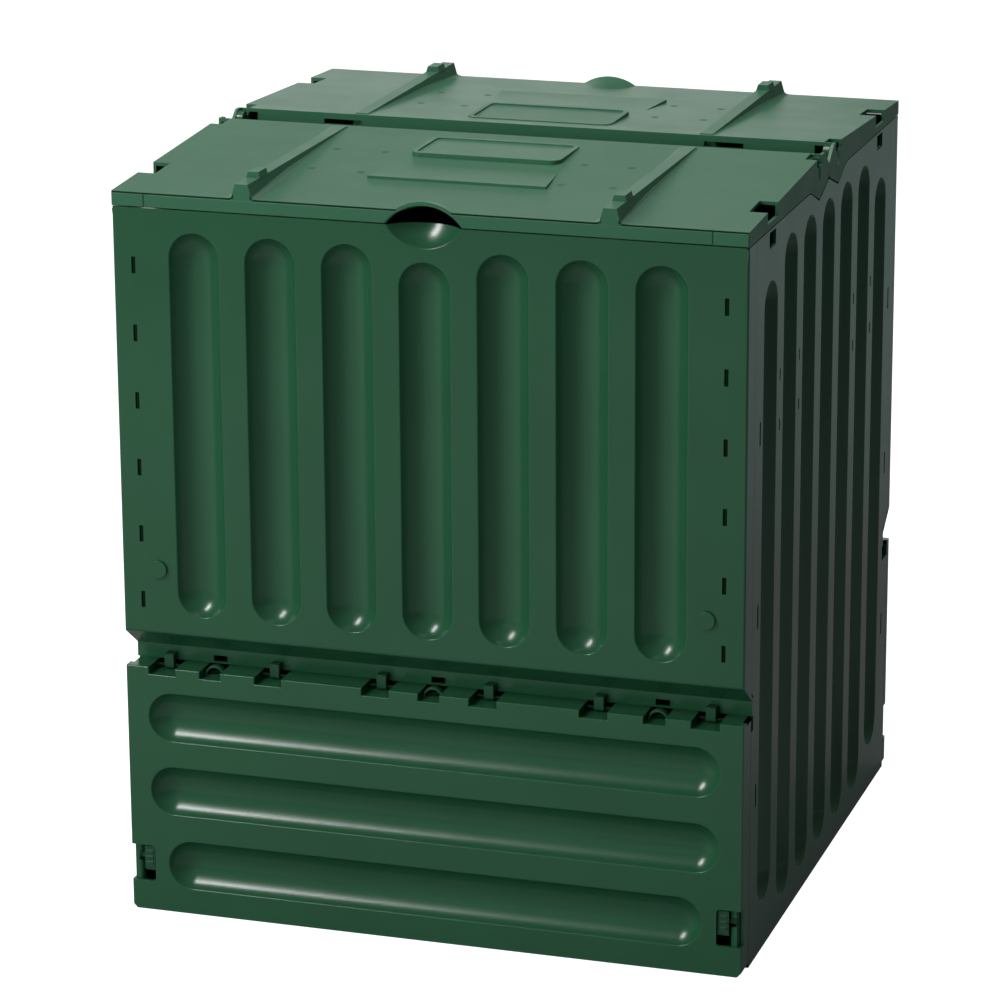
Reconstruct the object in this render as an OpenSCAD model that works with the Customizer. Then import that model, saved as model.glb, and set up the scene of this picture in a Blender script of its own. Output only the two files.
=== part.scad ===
/* [Body] */
// Width of the bin across the front
bin_w = 700; // [660:1:800]
// Depth of the bin from front to rear
bin_d = 700; // [660:1:800]
// Height of the walls, up to the lids' skirts
wall_h = 803; // [760:1:900]
// Thickness of walls, flaps and lids
wall_t = 4; // [3.5:0.5:5]
// How far a panel wraps round its right-hand corner
long_return = 31; // [28:1:36]
// How far a panel wraps round its left-hand corner
short_return = 13; // [11:1:18]

/* [Flutes] */
// Number of flutes on each side
flute_count = 7; // [5:2:7]
// Width of a flute at the face
flute_w = 57; // [50:1:60]
// Depth of a flute
flute_deep = 18; // [14:1:20]
// Plain land outside the first and last flute of a panel
panel_land = 63.5; // [60:0.5:70]
// Plain land of a side wall at its long-return end
wall_land_long = 66.5; // [62:0.5:72]
// Plain land of a side wall at its short-return end
wall_land_short = 60.5; // [58:0.5:70]
// Plain strip above the flutes of a panel and a wall
flute_head = 24; // [22:1:32]
// Plain strip below the flutes of a panel
flute_foot = 21; // [18:1:30]
// Plain strip below the inner flutes of a wall
wall_foot = 29; // [20:1:40]
// How much shorter the centre flute of a panel is, below the grip
grip_drop = 14; // [10:1:24]
// How much shorter the outer flutes of a wall are at the top
outer_drop = 32; // [28:1:40]
// How much shorter the outer flutes of a wall are at the foot
outer_lift = 26; // [15:1:40]

/* [Flap] */
// Height of a flap
flap_h = 287; // [275:1:300]
// Gap below a flap
flap_ground = 1; // [0.5:0.5:4]
// Gap between the rear edge of a flap's shelf and the recessed band
shelf_gap = 1; // [0.8:0.1:2]
// Thickness of the rail that carries the hinge pins
rail_t = 12; // [11:0.5:14]
// Width of that rail, front to rear
rail_w = 14; // [13:0.5:18]
// Bevel of a flap's top edge
flap_bevel = 2.5; // [1:0.5:3]
// Width of a flap's lying flutes
lying_w = 57; // [50:1:58]
// Centre height of the lowest lying flute
lying_first = 58; // [54:1:60]
// Distance from one lying flute to the next
lying_pitch = 86; // [82:1:88]
// Land beside the two upper lying flutes
lying_land = 25; // [20:1:40]
// Land beside the lowest lying flute, clear of the latches
latch_land = 44; // [43:1:60]
// Cut across the bottom corners of a flap
corner_cut = 5; // [3:0.5:8]

/* [Flap hinge] */
// Height from the flap's top to the foot of the panel's face
swing_gap = 41; // [38:1:46]
// Rise of the slanted soffit above the flap
soffit_rise = 25; // [22:1:28]
// Depth of the recess above the flap
recess_deep = 35; // [33:0.5:38]
// Gap between the flap's top and the recessed band
band_gap = 2; // [1.5:0.5:3]
// Diameter of a hinge pin
pin_d = 4; // [3.5:0.25:5]
// How far the hinge axis lies in front of the shelf's rear edge
pin_set = 8.3; // [7:0.1:9]
// Depth of the hinge axis below the flap's top
pin_drop = 4.2; // [4:0.1:5]
// Radius of a hinge tab round its pin
tab_r = 3.7; // [3.4:0.1:4]
// Width of a hinge tab
tab_w = 11; // [8:0.5:14]
// Height of a hinge tab's head above the band's lower edge
tab_head = 7; // [5:0.5:9]
// Width of the notch around a hinge tab
tab_notch_w = 31; // [26:0.5:34]
// Depth of the notches in the flap's top
notch_deep = 8.5; // [8.5:0.1:9.5]
// How far a pin reaches into the flap beside its notch
pin_grip = 6; // [4:0.5:8]
// Gap at each end of a pin
pin_end_gap = 0.5; // [0.3:0.1:1]
// Clearance round a pin where it turns
pin_clear = 0.2; // [0.1:0.05:0.4]
// Distance of the outer hinge tabs from the bin's side
tab_edge = 42; // [38:1:48]
// Distance from one hinge tab to the next
tab_pitch = 123.5; // [110:0.5:130]
// Distance of the outer arched clips from the bin's side
clip_edge = 98; // [90:1:106]
// Outer radius of an arched clip
clip_r = 12; // [10:0.5:13]
// Thickness of an arched clip
clip_t = 2.5; // [2:0.5:4]
// Depth of an arched clip, front to rear
clip_deep = 8; // [5:1:9]
// How far a clip stands in front of the hinge axis
clip_set = 1.7; // [1:0.1:3]
// Width of the hole in the band above a clip
clip_hole_w = 12; // [8:0.5:16]
// Height of the hole in the band above a clip
clip_hole_h = 5; // [3:0.5:6]
// Height of that hole above the band's lower edge
clip_hole_rise = 3; // [2:0.5:4]

/* [Lock] */
// Height of the lock windows above the ground
window_z = 35; // [30:1:40]
// Height of a lock window
window_h = 42; // [42:1:48]
// Width of a lock window inside the corner post
window_w = 24; // [22:0.5:26]
// How far a lock window wraps round the corner
window_wrap = 11; // [8:1:12]
// Width of the lock's tongue
tongue_w = 12; // [10:0.5:13]
// Height of the lock's tongue
tongue_h = 26; // [24:1:28]
// How far the tongue stands behind the flap's face
tongue_sink = 2.5; // [2:0.5:3.5]
// Gap between the tongue and the top of its window
tongue_head = 2; // [1:0.5:3]
// Gap between the tongue and the corner post
tongue_side = 2; // [1:0.5:4]
// Thickness of the lock's plate behind the flap
latch_t = 3; // [2:0.5:4]
// How far that plate reaches past the tongue
latch_wing = 9; // [6:0.5:12]
// How far that plate reaches above and below the tongue
latch_lap = 3; // [2:0.5:4]
// Travel of the lock
lock_travel = 12; // [10:0.5:13]
// Height of the bolt on the lock
bolt_h = 6; // [5:0.5:7]
// Thickness of the bolt, front to rear
bolt_t = 4; // [3:0.5:5]
// Thickness of the arm that carries the bolt
arm_t = 2.5; // [2:0.5:3]
// How far the bolt reaches into the corner post
bolt_reach = 5.5; // [4:0.5:6]
// Gap between the lock's plate and the bolt
bolt_gap = 1; // [0.5:0.5:2]
// Room above and below the bolt in its way in
keeper_room = 2.5; // [2:0.5:3]
// Thickness of the strap that holds the lock
strap_t = 3; // [2:0.5:4]
// Height of the strap
strap_h = 8; // [6:0.5:12]
// Width of the rail beside the lock
guide_w = 5; // [4:0.5:8]
// Clearance round the sliding lock
lock_clear = 0.5; // [0.3:0.1:0.6]

/* [Corner joint] */
// Width of a corner post
post_w = 8; // [7:0.5:10]
// Depth of a corner post behind the seam
post_root = 15; // [12:1:20]
// Height of the upper posts' feet above the foot of the panel's face
post_rise = 10; // [8:1:14]
// Distance of the posts' tops from the walls' top
post_head = 3; // [2:0.5:6]
// Gap at the seams between panels and walls
seam = 0.5; // [0.3:0.1:0.8]
// Number of hooks up each edge of a panel
hook_count = 6; // [4:1:6]
// Distance from one hook to the next
hook_pitch = 75; // [70:1:78]
// Distance from the panel's face foot to the lowest hook
hook_first = 37; // [30:1:44]
// Distance of the hook slots from the bin's side
hook_edge = 23; // [20:0.5:24]
// Width of a hook slot
hook_slot_w = 4.5; // [4:0.5:6]
// Height of a hook slot
hook_slot_h = 18.6; // [14:0.2:22]
// How far a hook's end stays behind the face
hook_sink = 1.5; // [0.5:0.1:2]
// Width of the flange beyond the hooks
hook_land = 6; // [5:0.5:8]
// Clearance of a hook in its slot
hook_clear = 0.75; // [0.5:0.05:1]
// Distance of the lock plugs from the bin's side
plug_edge = 42; // [40:0.5:46]
// Height of the lock plugs above the panel's face foot
plug_z = 73; // [66:1:80]
// Diameter of a lock plug's head
plug_head_d = 20; // [16:0.5:22]
// Thickness of a lock plug's head
plug_head_t = 3; // [2:0.5:4]
// Diameter of a lock plug's shank
plug_d = 10; // [8:0.5:12]
// How far the shank reaches past the flange
plug_over = 3; // [1:0.5:6]
// Distance from the plug to the edge of its flange
plug_land = 10; // [8:0.5:14]
// Clearance of the shank in its hole
plug_clear = 0.2; // [0.1:0.05:0.4]

/* [Wall openings] */
// Distance of the upper wall slots from the bin's centre
lid_slot_y = 252; // [244:1:258]
// Width of the upper wall slots
lid_slot_w = 27; // [20:1:30]
// Height of the upper wall slots
lid_slot_h = 17; // [12:1:20]
// Strip of wall above the upper slots
lid_slot_head = 3; // [2:0.5:5]
// Distance of the snap slots from the wall's edges
snap_edge = 23; // [20:1:26]
// Width of the snap slots
snap_w = 5; // [4:0.5:7]
// Height of the snap slots
snap_h = 26; // [20:1:32]
// Height of the lowest snap slots above the ground
snap_first = 190; // [170:1:210]
// Distance from one snap slot to the next
snap_pitch = 201; // [180:1:210]
// Number of snap slots up each edge
snap_count = 3; // [1:1:3]
// Width of the small vents between the wall's flutes
vent_w = 4; // [3:0.5:6]
// Height of the small vents
vent_h = 13; // [8:0.5:20]
// Height of the lower vents above the ground
vent_first = 580; // [540:1:600]
// Distance from the lower vents to the upper ones
vent_pitch = 55; // [40:1:70]

/* [Lid] */
// Height of the lid's skirt at the eave
skirt_h = 16; // [14:0.5:20]
// Rise of the lid from its eave to its ridge
ridge_rise = 15; // [12:1:20]
// Gap between a skirt and the wall below it
lid_gap = 1; // [0.8:0.1:1.5]
// Half of the open valley between the two ridges
valley_half = 30; // [29:0.5:31]
// Distance of a lid's hinge axis from the bin's centre
lid_axis_y = 22; // [21.5:0.1:22.5]
// Depth of a lid's hinge axis below its ridge
lid_axis_drop = 11; // [10.5:0.1:11.5]
// Thickness of a lid's side skirts
skirt_t = 3.5; // [3:0.1:3.5]
// Diameter of the studs that a lid turns on
stud_d = 8; // [6:0.5:9]
// Clearance round a stud
stud_clear = 0.3; // [0.2:0.05:0.5]
// Thickness of the ears that hold the studs
ear_t = 7; // [5:0.5:9]
// Radius of an ear round its stud
ear_r = 9; // [8:0.5:9]
// How far the ears reach down below the tops of the flutes
ear_drop = 40; // [30:1:60]
// Gap between an ear and a lid's side skirt
ear_gap = 1; // [0.5:0.1:1.5]
// Distance of the tongues' tips from the bin's centre
tip_y = 44; // [42:1:46]
// Depth of a tongue's tip below the skirt
tip_drop = 16; // [14:0.5:18]
// Rounding of a tongue's tip
tip_round = 3; // [2:0.5:4]
// Distance of the tongues' shoulders from the bin's centre
shoulder_y = 86; // [84:1:92]
// Rounding of a tongue's shoulder
shoulder_round = 50; // [30:1:60]
// Depth of the wall's peak between the tongues below the wall's top
peak_drop = 1.5; // [1:0.1:3]
// Rounding of the wall's peak
peak_round = 10; // [6:0.5:14]
// Gap below the tongues
tongue_gap = 2; // [1.8:0.1:3]
// Clearance of a turning tongue over the wall's peak
tongue_clear = 0.7; // [0.5:0.1:1]
// Gap between each lid and the bin's middle
middle_gap = 0.5; // [0.4:0.1:0.8]
// Distance of the start of a tongue's rear slope from the bin's middle
tongue_back = 21; // [19:0.5:24]
// Fall of that slope
tongue_fall = 16; // [12:0.5:17]
// Width of the slit above a tongue, at its foot
slit_w = 5; // [4:0.5:8]
// Width of that slit at its top
slit_top_w = 25; // [18:0.5:26]
// Height of that slit's foot above the skirt's foot
slit_rise = 4; // [3:0.5:6]
// Height of a ridge's flank
flank_h = 23; // [20:1:26]
// Distance of a flank's ends from the lid's ends
flank_end = 24; // [22:1:30]
// Thickness of the ledge that closes the valley
ledge_t = 3; // [2:0.5:4]
// Distance of the slots in a flank from the bin's centre
ridge_slot_x = 223; // [210:1:240]
// Width of the slots in a flank
ridge_slot_w = 45; // [35:1:55]
// Height of the slots in a flank
ridge_slot_h = 6; // [4:0.5:7]
// Depth of those slots below the ridge
ridge_slot_drop = 7; // [6:0.5:8]
// Distance of the eave notches from the bin's centre
notch_y = 252; // [244:1:258]
// Length of an eave notch
notch_len = 44; // [36:1:50]
// Reach of an eave notch into the lid
notch_in = 20; // [14:1:24]
// Length of a ridge notch
ridge_notch_len = 25; // [20:1:26]
// Reach of a ridge notch into the lid
ridge_notch_in = 13.5; // [8:0.5:16]
// Depth that both kinds of notch cut into the skirt
notch_cut = 10; // [6:0.5:11]

/* [Lid details] */
// Distance of the ribs from the bin's centre
rib_x = 202; // [190:1:215]
// Width of a rib's top
rib_w = 14.5; // [10:0.5:18]
// Extra width of a rib at its foot
rib_flare = 10; // [4:0.5:12]
// Height of the ribs' tops above the ridge
rib_over = 0.5; // [0.3:0.1:3]
// Distance of a rib's end from the ridge
rib_end = 6; // [4:1:12]
// Distance of a knob from the eave
knob_set = 36; // [26:1:44]
// Length of a knob
knob_len = 24; // [10:1:30]
// Height of a knob
knob_h = 6; // [4:0.5:10]
// How far a knob's foot stands out beside its rib
knob_flare = 1; // [0.5:0.1:2]
// How much narrower a knob's top is than its rib, on each side
knob_taper = 1.2; // [0.5:0.1:2.5]
// Width of the framed plate
frame_w = 170; // [150:1:190]
// Length of the framed plate
frame_len = 88; // [70:1:100]
// Distance of the framed plate from the ridge
frame_set = 25; // [20:1:34]
// Width of the framed plate's rim
frame_rim = 6; // [4:0.5:8]
// Height of the rim above the lid at its ridge side
frame_h = 0.8; // [0.4:0.1:2]
// Depth of the plate inside its rim
frame_sink = 1.5; // [0.5:0.1:2]
// Rounding of the framed plate's corners
frame_round = 12; // [8:1:20]
// Width of the level plate
plate_w = 200; // [170:1:220]
// Distance of the level plate's edge from the eave
plate_set = 110; // [100:1:125]
// Height of the level plate's edge above the lid
plate_h = 3.1; // [2:0.1:3.4]
// How much each end of the level plate tapers inwards
plate_taper = 7; // [2:1:12]

/* [Grip] */
// Width of the grip at the panel's top
grip_w = 83; // [74:1:92]
// Depth of the grip's bowl below the panel's top
bowl_drop = 24; // [20:1:26]
// How far the bowl reaches behind the face at its deepest
bowl_deep = 25; // [22:1:26]
// Height of the arch over the grip
arch_h = 20; // [18:0.5:22]
// Fall of the hood over the grip, in degrees
hood_fall = 12.7; // [11:0.1:15]
// Length of the hood over the grip
hood_len = 45; // [40:1:50]

/* [Hidden] */
$fn = 64;
bin_green = "#2b5540";
dark_green = "#1c3b2c";

hx = bin_w / 2;
hy = bin_d / 2;
through = 1;

// Flutes: a cylinder with ball ends whose axis stands outside the face
flute_r = (pow(flute_w / 2, 2) + pow(flute_deep, 2)) / (2 * flute_deep);
flute_pitch = (bin_w - 2 * panel_land - flute_w) / (flute_count - 1);
wall_pitch = (bin_d - wall_land_long - wall_land_short - flute_w) / (flute_count - 1);
wall_first = -hy + wall_land_long + flute_w / 2;
flute_top = wall_h - flute_head;
lying_r = (pow(lying_w / 2, 2) + pow(flute_deep, 2)) / (2 * flute_deep);
inner_reach = flute_deep + 3 * wall_t;

// Front face of the panel: everything is set out at the front and turned for the rear
face = -hy;
panel_foot = flap_h + swing_gap;
soffit_low = panel_foot - soffit_rise;
soffit_slope = soffit_rise / recess_deep;
band_y = face + recess_deep;
band_foot = flap_h + band_gap;
shelf_back = band_y - shelf_gap;
axis_y = shelf_back - pin_set;
axis_z = flap_h - pin_drop;
notch_floor = flap_h - notch_deep;
tab_xs = [for (side = [-1, 1]) for (i = [0 : 2])
    side * (hx - tab_edge - (side < 0 ? i : 2 - i) * tab_pitch)];
clip_xs = [-hx + clip_edge, 0, hx - clip_edge];

// Corner posts
post_x = hx - wall_t - seam;
post_in = post_x - post_w;
post_face = face + wall_t + seam;
post_top = wall_h - post_head;
post_foot = panel_foot + post_rise;
swing_r = norm([shelf_back - axis_y, rail_t - pin_drop]);
post_low_top = axis_z - swing_r - tongue_gap;
wall_notch_y = band_y + wall_t + seam;
hook_x = hx - hook_edge;
hook_zs = [for (i = [0 : hook_count - 1]) panel_foot + hook_first + i * hook_pitch];
plug_x = hx - plug_edge;
plug_height = panel_foot + plug_z;

// Lock
latch_face = face + tongue_sink;
latch_back = face + wall_t + lock_clear;
latch_x = post_in - tongue_side - tongue_w;
latch_z = window_z + window_h - tongue_h - tongue_head;
wing_x = latch_x - latch_wing;
bolt_z = latch_z + tongue_h / 2 - bolt_h / 2;
bolt_y = latch_back + latch_t + bolt_gap;

// Lid
lid_foot = wall_h + lid_gap;
eave_z = lid_foot + skirt_h;
ridge_z = eave_z + ridge_rise;
lid_slope = ridge_rise / (hy - valley_half);
lid_axis_z = ridge_z - lid_axis_drop;
skirt_x = hx - skirt_t;
rib_z = ridge_z + rib_over;
dip = lid_foot - tip_drop - tongue_gap;
peak = wall_h - peak_drop;
// Distance from the lid's axis to the wall's line between dip and peak
peak_reach = ((lid_axis_z - dip) * tip_y - (tip_y - lid_axis_y) * (peak - dip)) / norm([tip_y, peak - dip]);
tongue_r = peak_reach - tongue_clear;
arch_r = (pow(grip_w / 2, 2) + pow(arch_h, 2)) / (2 * arch_h);
bowl_face_r = (pow(grip_w / 2, 2) + pow(bowl_drop, 2)) / (2 * bowl_drop);
bowl_out = (pow(bowl_face_r, 2) - pow(bowl_deep, 2)) / (2 * bowl_deep);
bowl_r = bowl_out + bowl_deep;

// Outline of the right wall in [y, z], with the dips for the lids' tongues
wall_low_y = face + long_return + seam;
wall_high_y = hy - short_return - seam;
wall_outline = rounded([[wall_low_y, 0], [wall_high_y, 0], [wall_high_y, wall_h], [shoulder_y, wall_h],
    [tip_y, dip], [0, peak], [-tip_y, dip], [-shoulder_y, wall_h], [wall_low_y, wall_h]],
    [0, 0, 0, shoulder_round, tip_round, peak_round, tip_round, shoulder_round, 0]);

// Outline of a lid's side skirt in [y, z], with the tongue that carries its stud
skirt_outline = rounded([[-hy, lid_foot], [-shoulder_y, lid_foot], [-tip_y, dip + tongue_gap],
    [-middle_gap, peak + tongue_gap - (peak - dip) * middle_gap / tip_y], [-middle_gap, ridge_z - tongue_fall],
    [-tongue_back, ridge_z], [-valley_half, ridge_z], [-hy, eave_z]],
    [0, shoulder_round, tip_round, 0, 3, 8, 0, 0]);

function lid_z(y) = eave_z + (y + hy) * lid_slope;

// Angle brought between -180 and 180
function turn(a) = a > 180 ? a - 360 : a < -180 ? a + 360 : a;

// Points of an arc of radius r that rounds the corner at p, between a and b
function corner(a, p, b, r) =
    let (u = (a - p) / norm(a - p), v = (b - p) / norm(b - p), half = acos(u * v) / 2,
        centre = p + (u + v) / norm(u + v) * r / sin(half),
        start = p + u * r / tan(half) - centre, end = p + v * r / tan(half) - centre,
        low = atan2(start[1], start[0]), sweep = turn(atan2(end[1], end[0]) - low))
    [for (k = [0 : 4]) centre + r * [cos(low + sweep * k / 4), sin(low + sweep * k / 4)]];

// Outline with its corners rounded by the given radii
function rounded(points, radii) = let (n = len(points))
    [for (i = [0 : n - 1]) each radii[i] > 0 ?
        corner(points[(i + n - 1) % n], points[i], points[(i + 1) % n], radii[i]) : [points[i]]];

// A box given by its two corners
module block(low, high) {
    translate(low)
        cube([high[0] - low[0], high[1] - low[1], high[2] - low[2]]);
}

// A flat shape in [y, z], drawn out along X
module drawn_x(x_low, x_high) {
    translate([x_low, 0, 0])
        rotate([90, 0, 90])
            linear_extrude(x_high - x_low)
                children();
}

module along_x(x_low, x_high, points) {
    drawn_x(x_low, x_high)
        polygon(points);
}

// A profile of [x, z] points, drawn out along Y
module along_y(y_low, y_high, points) {
    translate([0, y_high, 0])
        rotate([90, 0, 0])
            linear_extrude(y_high - y_low)
                polygon(points);
}

// Turned bar of two ball ends and a shaft, standing on Z
module ball_bar(r, low, high) {
    rotate_extrude()
        intersection() {
            union() {
                translate([0, low])
                    square([r, high - low]);
                translate([0, low])
                    circle(r);
                translate([0, high])
                    circle(r);
            }
            translate([0, low - 2 * r])
                square([2 * r, high - low + 4 * r]);
        }
}

// Flutes of a panel, grown by extra: centred, standing on Z, face at y = 0
module panel_flutes(extra) {
    for (i = [0 : flute_count - 1]) {
        middle = (i == (flute_count - 1) / 2);
        top = flute_top - (middle ? grip_drop : 0);
        translate([(i - (flute_count - 1) / 2) * flute_pitch, flute_deep - flute_r, 0])
            ball_bar(flute_r + extra, panel_foot + flute_foot + flute_w / 2, top - flute_w / 2);
    }
}

// Flutes of the right wall, grown by extra: face at x = 0, behind it -X
module wall_flutes(extra) {
    for (i = [0 : flute_count - 1]) {
        outer = (i == 0 || i == flute_count - 1);
        low = wall_foot + (outer ? outer_lift : 0);
        top = flute_top - (outer ? outer_drop : 0);
        translate([flute_r - flute_deep, wall_first + i * wall_pitch, 0])
            ball_bar(flute_r + extra, low + flute_w / 2, top - flute_w / 2);
    }
}

// Lying flutes of a flap, grown by extra: face at y = 0
module flap_flutes(extra) {
    for (i = [0 : 2]) {
        half = hx - (i == 0 ? latch_land : lying_land) - lying_w / 2;
        translate([0, flute_deep - lying_r, lying_first + i * lying_pitch])
            rotate([0, 90, 0])
                ball_bar(lying_r + extra, -half, half);
    }
}

// Bowl of the grip, grown by extra
module bowl(extra) {
    translate([0, face - bowl_out, wall_h - bowl_drop + bowl_face_r])
        sphere(bowl_r + extra);
}

// Upper panel with its soffit, recessed band and hinge tabs
module panel() {
    soffit_up = wall_t * (norm([1, soffit_slope]) - soffit_slope);
    sheet = [[face, wall_h], [face, panel_foot], [band_y, soffit_low], [band_y, band_foot],
        [band_y + wall_t, band_foot], [band_y + wall_t, soffit_low + soffit_up],
        [face + wall_t, panel_foot + soffit_up], [face + wall_t, wall_h]];
    difference() {
        union() {
            along_x(-hx, hx, sheet);
            return_side(hx - wall_t, hx, long_return);
            return_side(-hx, -hx + wall_t, short_return);
            intersection() {
                translate([0, face, 0])
                    panel_flutes(wall_t);
                block([-hx, face, panel_foot], [hx, face + inner_reach, wall_h]);
            }
            intersection() {
                bowl(wall_t);
                block([-grip_w, face, 0], [grip_w, face + bowl_deep + 2 * wall_t, wall_h]);
            }
            for (x = tab_xs)
                hinge_tab(x);
        }
        translate([0, face, 0])
            panel_flutes(0);
        bowl(0);
        for (side = [-1, 1]) {
            for (z = hook_zs)
                block([side * hook_x - hook_slot_w / 2, face - through, z - hook_slot_h / 2],
                    [side * hook_x + hook_slot_w / 2, face + wall_t + through, z + hook_slot_h / 2]);
            plug_hole(side * plug_x, face);
        }
        for (x = clip_xs)
            block([x - clip_hole_w / 2, band_y - through, band_foot + clip_hole_rise],
                [x + clip_hole_w / 2, band_y + wall_t + through, band_foot + clip_hole_rise + clip_hole_h]);
        for (x = tab_xs)
            pin_bore(x, tab_w / 2 + through, pin_d / 2 + pin_clear);
    }
}

// Part of a panel that wraps round a corner
module return_side(x_low, x_high, reach) {
    along_x(x_low, x_high, [[face, wall_h], [face, panel_foot],
        [face + reach, panel_foot - reach * soffit_slope], [face + reach, wall_h]]);
}

// Tab that hangs from the band into a flap's notch, round at the pin
module hinge_tab(x) {
    low = x - tab_w / 2;
    high = x + tab_w / 2;
    top = band_foot + tab_head;
    translate([low, axis_y, axis_z])
        rotate([0, 90, 0])
            cylinder(h = tab_w, r = tab_r);
    block([low, axis_y - tab_r, axis_z], [high, axis_y + tab_r, top]);
    block([low, axis_y, band_foot], [high, band_y + wall_t / 4, top]);
}

// Round hole on the flap's hinge axis
module pin_bore(x, reach, r) {
    translate([x - reach, axis_y, axis_z])
        rotate([0, 90, 0])
            cylinder(h = 2 * reach, r = r);
}

// Round hole for a lock plug through a sheet that starts at y
module plug_hole(x, y) {
    translate([x, y - through, plug_height])
        rotate([-90, 0, 0])
            cylinder(h = wall_t + 2 * through, d = plug_d + 2 * plug_clear);
}

// Room for the soffit, the band and the top of the flap as it swings
module swing_rooms() {
    out = 2;
    room = [[face - out, post_foot + out * soffit_slope], [wall_notch_y, soffit_low + wall_t + seam],
        [wall_notch_y, post_low_top], [face - out, post_low_top]];
    for (turn = [0, 180])
        rotate([0, 0, turn])
            along_x(-hx - through, hx + through, room);
}

// Corner post at the front right, whose panel returns by reach
module corner_post(reach) {
    root = face + reach + seam;
    // Post and hook flange behind the upper panel
    block([post_in, post_face, post_foot], [post_x, root + post_root, post_top]);
    block([post_in, root, post_foot], [hx - wall_t / 2, root + post_root, post_top]);
    block([plug_x - plug_land, post_face, post_foot], [post_x, post_face + wall_t, plug_height + hook_pitch]);
    block([hook_x - hook_land, post_face, post_foot], [post_x, post_face + wall_t, post_top]);
    for (z = hook_zs)
        block([hook_x - hook_slot_w / 2 + hook_clear, face + hook_sink, z - hook_slot_h / 2 + hook_clear],
            [hook_x + hook_slot_w / 2 - hook_clear, post_face + wall_t / 4, z + hook_slot_h / 2 - hook_clear]);
    // Post beside the flap
    block([post_in, post_face, flap_ground], [post_x, root + post_root, post_low_top]);
    block([post_in, root, 0], [hx - wall_t / 2, root + post_root, post_low_top]);
}

// What is taken out of a corner post: the plug's hole and the bolt's keeper
module corner_cuts() {
    plug_hole(plug_x, post_face);
    keeper_x = post_in + bolt_reach + lock_clear;
    keeper_back = bolt_y + bolt_t + lock_clear;
    // Way in at the rest height, open to the front
    block([post_in - through, post_face - through, bolt_z - keeper_room],
        [keeper_x, keeper_back, bolt_z + bolt_h + keeper_room]);
    // Pocket below it, closed by a lip in front
    block([post_in - through, bolt_y - lock_clear, bolt_z - lock_travel - keeper_room],
        [keeper_x, keeper_back, bolt_z]);
}

// Ears that hold the two lids' studs, inside the right wall
module stud_ears() {
    x_high = skirt_x - ear_gap;
    ear_foot = flute_top - ear_drop;
    outline = [[-lid_axis_y - ear_r, ear_foot], [lid_axis_y + ear_r, ear_foot],
        [lid_axis_y + ear_r, lid_axis_z], [lid_axis_y - ear_r, lid_axis_z],
        [lid_axis_y - ear_r, dip], [-lid_axis_y + ear_r, dip],
        [-lid_axis_y + ear_r, lid_axis_z], [-lid_axis_y - ear_r, lid_axis_z]];
    along_x(x_high - ear_t, x_high, outline);
    for (y = [-lid_axis_y, lid_axis_y])
        translate([x_high - ear_t, y, lid_axis_z])
            rotate([0, 90, 0])
                cylinder(h = ear_t, r = ear_r);
    // Web between the ears and the wall, below the dips
    intersection() {
        along_x(x_high - ear_t, hx - wall_t / 2, outline);
        along_x(x_high - ear_t, hx, wall_outline);
    }
}

module wall() {
    difference() {
        union() {
            along_x(hx - wall_t, hx, wall_outline);
            intersection() {
                translate([hx, 0, 0])
                    wall_flutes(wall_t);
                block([hx - inner_reach, -hy, 0], [hx, hy, wall_h]);
            }
            corner_post(long_return);
            mirror([0, 1, 0])
                corner_post(short_return);
            stud_ears();
        }
        translate([hx, 0, 0])
            wall_flutes(0);
        swing_rooms();
        corner_cuts();
        mirror([0, 1, 0])
            corner_cuts();
        for (y = [-lid_axis_y, lid_axis_y])
            translate([skirt_x - ear_gap - ear_t - through, y, lid_axis_z])
                rotate([0, 90, 0])
                    cylinder(h = ear_t + 2 * through, d = stud_d + 2 * stud_clear);
        wall_slots();
    }
}

// Upper slots, snap slots up both edges and small vents between the flutes
module wall_slots() {
    for (y = [-lid_slot_y, lid_slot_y])
        wall_slot(y, wall_h - lid_slot_head - lid_slot_h / 2, lid_slot_w, lid_slot_h);
    for (y = [wall_low_y + snap_edge, wall_high_y - snap_edge])
        for (i = [0 : snap_count - 1])
            wall_slot(y, snap_first + i * snap_pitch, snap_w, snap_h);
    for (i = [0, 1, flute_count - 3, flute_count - 2])
        for (z = [vent_first, vent_first + vent_pitch])
            wall_slot(wall_first + (i + 0.5) * wall_pitch, z, vent_w, vent_h);
}

module wall_slot(y, z, w, h) {
    block([hx - wall_t - through, y - w / 2, z - h / 2], [hx + through, y + w / 2, z + h / 2]);
}

// Flap with lying flutes, hinge rail, notches, arched clips and lock guides
module flap() {
    rail_y = shelf_back - rail_w;
    difference() {
        union() {
            along_x(-hx, hx, [[face, flap_ground], [face + wall_t, flap_ground], [face + wall_t, flap_h - wall_t],
                [rail_y, flap_h - wall_t], [rail_y, flap_h - rail_t], [shelf_back, flap_h - rail_t],
                [shelf_back, flap_h], [face + flap_bevel, flap_h], [face, flap_h - flap_bevel]]);
            block([hx - wall_t, face, flap_ground], [hx, face + long_return - seam, flap_h - flap_bevel]);
            block([-hx, face, flap_ground], [-hx + wall_t, face + short_return - seam, flap_h - flap_bevel]);
            intersection() {
                translate([0, face, 0])
                    flap_flutes(wall_t);
                block([-hx, face, flap_ground], [hx, face + inner_reach, flap_h]);
            }
            for (x = tab_xs)
                notch_floor_block(x, tab_notch_w / 2);
            for (x = clip_xs)
                notch_floor_block(x, clip_r);
            latch_guides();
            mirror([1, 0, 0])
                latch_guides();
        }
        translate([0, face, 0])
            flap_flutes(0);
        for (x = tab_xs)
            notch(x, tab_notch_w / 2);
        for (x = clip_xs)
            notch(x, clip_r);
        for (x = tab_xs)
            pin_bore(x, tab_notch_w / 2 + pin_grip, pin_d / 2 + pin_clear / 2);
        lock_window();
        mirror([1, 0, 0])
            lock_window();
    }
    for (x = clip_xs)
        arched_clip(x);
}

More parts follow.
